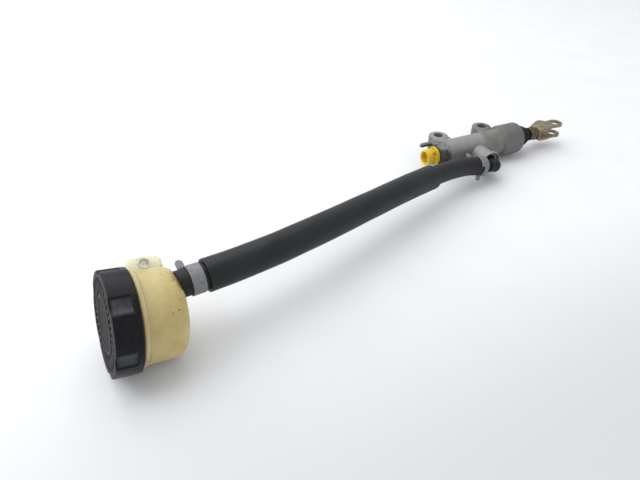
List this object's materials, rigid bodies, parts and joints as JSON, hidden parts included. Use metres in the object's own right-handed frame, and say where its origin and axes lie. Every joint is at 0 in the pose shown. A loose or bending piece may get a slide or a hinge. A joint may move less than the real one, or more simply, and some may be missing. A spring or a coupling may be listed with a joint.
{
  "type": "brake master cylinder",
  "caption": "Plunger-type rear brake master cylinder with a clevis push rod, elbow inlet, sleeved hose and remote screw-cap fluid reservoir.",
  "frame": {"origin": "midway between the two mounting holes, on the lower face of the mounting lugs", "axes": "+X along the bore, from the outlet towards the clevis; +Z along the mounting screws, out of the top of the lugs; the bore axis lies at y = -21.5 mm, z = 6 mm, and the inlet boss points along -Y"},
  "size_m": [0.4424, 0.1697, 0.0602],
  "materials": {
    "cast_alloy": "rough sand-cast",
    "piston_alloy": "machined",
    "seal_rubber": "matte",
    "spring_steel": "drawn wire",
    "rod_steel": "tarnished",
    "zinc_steel": "tarnished yellow zinc",
    "nut_steel": "browned",
    "clamp_steel": "dull galvanised",
    "black_plastic": "satin",
    "hose_rubber": "matte",
    "sleeve_rubber": "satin",
    "aged_plastic": "translucent, aged",
    "cap_plastic": "satin, dusty face",
    "plate_plastic": "moulded",
    "yellow_plastic": "moulded"
  },
  "bodies": {
    "cylinder": {"cylinder_body": "cast_alloy", "stop_washer": "spring_steel", "piston_circlip": "spring_steel", "dust_boot": "seal_rubber", "elbow_circlip": "spring_steel", "return_spring": "spring_steel"},
    "piston": {"piston": "piston_alloy", "primary_cup": "seal_rubber", "secondary_cup": "seal_rubber"},
    "pushrod": {"pushrod": "rod_steel"},
    "locknut": {"locknut": "nut_steel"},
    "clevis": {"clevis": "zinc_steel", "weld_nut": "nut_steel"},
    "elbow": {"inlet_elbow": "black_plastic", "elbow_o_ring": "seal_rubber", "lower_clamp": "clamp_steel", "fluid_hose": "hose_rubber", "hose_sleeve": "sleeve_rubber"},
    "reservoir": {"reservoir_pot": "aged_plastic", "lug_bush": "spring_steel", "upper_clamp": "clamp_steel", "diaphragm": "seal_rubber"},
    "plate": {"diaphragm_plate": "plate_plastic"},
    "cap": {"screw_cap": "cap_plastic"},
    "plug": {"port_plug": "yellow_plastic"}
  },
  "joints": [
    {"name": "piston_slide", "type": "slide", "parent": "cylinder", "child": "piston", "axis": [-1, 0, 0], "range_m": [0, 0.009], "deforming": ["return_spring", "dust_boot"]},
    {"name": "pushrod_tilt", "type": "hinge", "parent": "piston", "child": "pushrod", "pos_m": [0.0244, -0.0215, 0.006], "axis": [0, 0, 1], "range_deg": [-3, 3], "deforming": ["dust_boot"]},
    {"name": "locknut_turn", "type": "hinge", "parent": "pushrod", "child": "locknut", "pos_m": [0.0672, -0.0215, 0.006], "axis": [1, 0, 0], "continuous": true},
    {"name": "clevis_turn", "type": "hinge", "parent": "pushrod", "child": "clevis", "pos_m": [0.0734, -0.0215, 0.006], "axis": [1, 0, 0], "continuous": true},
    {"name": "elbow_swivel", "type": "hinge", "parent": "cylinder", "child": "elbow", "pos_m": [-0.0025, -0.0493, 0.0035], "axis": [0, 1, 0], "range_deg": [-40, 100]},
    {"name": "hose_flex", "type": "hinge", "parent": "elbow", "child": "reservoir", "pos_m": [-0.13441, -0.08433, 0.02064], "axis": [0, 0, 1], "range_deg": [-15, 15], "deforming": ["fluid_hose", "hose_sleeve"]},
    {"name": "cap_lift", "type": "slide", "parent": "reservoir", "child": "plate", "axis": [-0.9683, -0.1086, 0.225], "range_m": [0, 0.014]},
    {"name": "cap_turn", "type": "hinge", "parent": "plate", "child": "cap", "pos_m": [-0.3307, -0.1328, 0.0227], "axis": [-0.9683, -0.1086, 0.225], "range_deg": [0, 1260]},
    {"name": "plug_pull", "type": "slide", "parent": "cylinder", "child": "plug", "axis": [-1, 0, 0], "range_m": [0, 0.02]}
  ],
  "couplings": [
    {"joint": "cap_lift", "follows": "cap_turn", "m_per_rad": 0.00063662}
  ]
}
